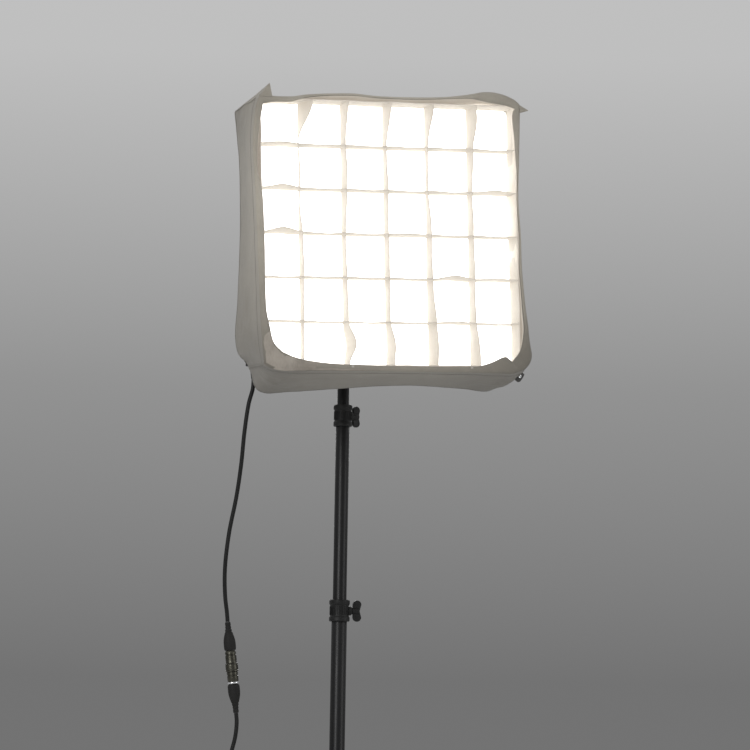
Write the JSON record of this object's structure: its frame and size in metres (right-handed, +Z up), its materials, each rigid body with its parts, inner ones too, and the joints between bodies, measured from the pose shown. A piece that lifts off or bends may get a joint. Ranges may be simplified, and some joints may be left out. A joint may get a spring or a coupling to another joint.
{
  "type": "led panel light",
  "caption": "Square LED mat light with fabric softbox and egg-crate grid, on a telescopic light stand with folding legs, with its lead.",
  "frame": {"origin": "on the floor, under the middle of the stand's footprint", "axes": "+Z up, the light faces -Y, +X to the right of a viewer who looks at its front"},
  "size_m": [0.7212, 0.6246, 1.6649],
  "materials": {
    "black_fabric": "matt woven nylon with sewn edges",
    "grid_fabric": "soft woven strips, lit from behind",
    "diffuser_cloth": "white diffusion cloth",
    "led_board": "flexible white board",
    "black_paint": "semi-gloss black paint",
    "black_plastic": "moulded, fine texture",
    "black_rubber": "matt",
    "spring_steel": "brushed",
    "shell_metal": "dark anodised",
    "spigot_metal": "plated"
  },
  "bodies": {
    "stand_base": {"base_tube": "black_paint", "bottom_collar": "black_plastic", "lower_collar": "black_plastic", "floor_lead": "black_rubber", "lead_coil": "black_rubber", "end_plug": "shell_metal"},
    "leg_slider": {"leg_collar": "black_plastic"},
    "leg_slider_knob": {"leg_collar_knob": "black_plastic"},
    "lower_wing": {"lower_wing_knob": "black_plastic"},
    "lower_stage": {"lower_middle_tube": "black_paint", "middle_collar": "black_plastic"},
    "middle_wing": {"middle_wing_knob": "black_plastic"},
    "upper_stage": {"upper_middle_tube": "black_paint", "upper_collar": "black_plastic"},
    "upper_wing": {"upper_wing_knob": "black_plastic"},
    "top_stage": {"top_tube": "black_paint", "spigot": "spigot_metal"},
    "receiver": {"receiver_socket": "black_paint", "tilt_tongue": "black_paint", "panel_lead": "black_rubber", "upper_boot": "black_rubber", "socket_shell": "shell_metal", "plug_shell": "shell_metal", "lower_boot": "black_rubber", "hanging_lead": "black_rubber"},
    "receiver_screw": {"receiver_knob": "black_plastic"},
    "lead_ring": {"coupling_ring": "shell_metal"},
    "light_head": {"mat_back_cover": "black_fabric", "led_board": "led_board", "mat_binding": "black_fabric", "arm_top_right": "spring_steel", "arm_top_left": "spring_steel", "arm_bottom_left": "spring_steel", "arm_bottom_right": "spring_steel", "pocket_top_right": "black_fabric", "pocket_top_left": "black_fabric", "pocket_bottom_left": "black_fabric", "pocket_bottom_right": "black_fabric", "holder_hub": "black_plastic", "tilt_fork": "black_paint", "tilt_pin": "spring_steel", "left_wall": "black_fabric", "right_wall": "black_fabric", "top_wall": "black_fabric", "bottom_wall": "black_fabric", "front_rim": "black_fabric", "front_diffuser": "diffuser_cloth", "egg_crate_grid": "grid_fabric", "cable_gland": "black_rubber"},
    "tilt_clamp": {"tilt_lever": "black_plastic"},
    "front_leg": {"leg_front": "black_paint", "foot_front": "black_rubber"},
    "front_brace": {"brace_front": "black_paint"},
    "right_leg": {"leg_right": "black_paint", "foot_right": "black_rubber"},
    "right_brace": {"brace_right": "black_paint"},
    "left_leg": {"leg_left": "black_paint", "foot_left": "black_rubber"},
    "left_brace": {"brace_left": "black_paint"}
  },
  "joints": [
    {"name": "lower_tube_slide", "type": "slide", "parent": "stand_base", "child": "lower_stage", "axis": [0, 0, 1], "range_m": [-0.3, 0]},
    {"name": "upper_tube_slide", "type": "slide", "parent": "lower_stage", "child": "upper_stage", "axis": [0, 0, 1], "range_m": [-0.3, 0]},
    {"name": "top_tube_slide", "type": "slide", "parent": "upper_stage", "child": "top_stage", "axis": [0, 0, 1], "range_m": [-0.225, 0]},
    {"name": "receiver_pan", "type": "hinge", "parent": "top_stage", "child": "receiver", "pos_m": [0, 0.099, 1.42], "axis": [0, 0, 1], "range_deg": [-90, 90], "deforming": ["hanging_lead", "panel_lead"]},
    {"name": "head_tilt", "type": "hinge", "parent": "receiver", "child": "light_head", "pos_m": [0, 0.044, 1.42], "axis": [-1, 0, 0], "range_deg": [-20, 60]},
    {"name": "tilt_lever_turn", "type": "hinge", "parent": "light_head", "child": "tilt_clamp", "pos_m": [0, 0.044, 1.42], "axis": [1, 0, 0], "range_deg": [-45, 60]},
    {"name": "receiver_knob_turn", "type": "hinge", "parent": "receiver", "child": "receiver_screw", "pos_m": [0, 0.099, 1.414], "axis": [1, 0, 0], "range_deg": [0, 360]},
    {"name": "upper_wing_turn", "type": "hinge", "parent": "upper_stage", "child": "upper_wing", "pos_m": [0, 0.099, 1.1375], "axis": [0.9063, 0.4226, 0], "range_deg": [0, 360]},
    {"name": "middle_wing_turn", "type": "hinge", "parent": "lower_stage", "child": "middle_wing", "pos_m": [0, 0.099, 0.7963], "axis": [1, 0, 0], "range_deg": [0, 360]},
    {"name": "lower_wing_turn", "type": "hinge", "parent": "stand_base", "child": "lower_wing", "pos_m": [0, 0.099, 0.455], "axis": [1, 0, 0], "range_deg": [0, 360]},
    {"name": "leg_collar_slide", "type": "slide", "parent": "stand_base", "child": "leg_slider", "axis": [0, 0, 1], "range_m": [0, 0.152]},
    {"name": "leg_knob_turn", "type": "hinge", "parent": "leg_slider", "child": "leg_slider_knob", "pos_m": [0, 0.099, 0.239], "axis": [0.866, -0.5, 0], "range_deg": [0, 360]},
    {"name": "front_leg_fold", "type": "hinge", "parent": "leg_slider", "child": "front_leg", "pos_m": [0, 0.069, 0.239], "axis": [1, 0, 0], "range_deg": [0, 54]},
    {"name": "front_brace_fold", "type": "hinge", "parent": "stand_base", "child": "front_brace", "pos_m": [0, 0.069, 0.066], "axis": [1, 0, 0], "range_deg": [-54, 0]},
    {"name": "right_leg_fold", "type": "hinge", "parent": "leg_slider", "child": "right_leg", "pos_m": [0.02598, 0.114, 0.239], "axis": [-0.5, 0.866, 0], "range_deg": [0, 54]},
    {"name": "right_brace_fold", "type": "hinge", "parent": "stand_base", "child": "right_brace", "pos_m": [0.02598, 0.114, 0.066], "axis": [-0.5, 0.866, 0], "range_deg": [-54, 0]},
    {"name": "left_leg_fold", "type": "hinge", "parent": "leg_slider", "child": "left_leg", "pos_m": [-0.02598, 0.114, 0.239], "axis": [-0.5, -0.866, 0], "range_deg": [0, 54]},
    {"name": "left_brace_fold", "type": "hinge", "parent": "stand_base", "child": "left_brace", "pos_m": [-0.02598, 0.114, 0.066], "axis": [-0.5, -0.866, 0], "range_deg": [-54, 0]},
    {"name": "coupling_ring_turn", "type": "hinge", "parent": "receiver", "child": "lead_ring", "pos_m": [-0.205, 0.034, 0.6945], "axis": [0.1168, 0, -0.9932], "range_deg": [0, 120]}
  ],
  "couplings": [
    {"joint": "front_leg_fold", "follows": "leg_collar_slide", "rad_per_m": 6.2},
    {"joint": "front_brace_fold", "follows": "leg_collar_slide", "rad_per_m": -6.2},
    {"joint": "right_leg_fold", "follows": "leg_collar_slide", "rad_per_m": 6.2},
    {"joint": "right_brace_fold", "follows": "leg_collar_slide", "rad_per_m": -6.2},
    {"joint": "left_leg_fold", "follows": "leg_collar_slide", "rad_per_m": 6.2},
    {"joint": "left_brace_fold", "follows": "leg_collar_slide", "rad_per_m": -6.2}
  ]
}
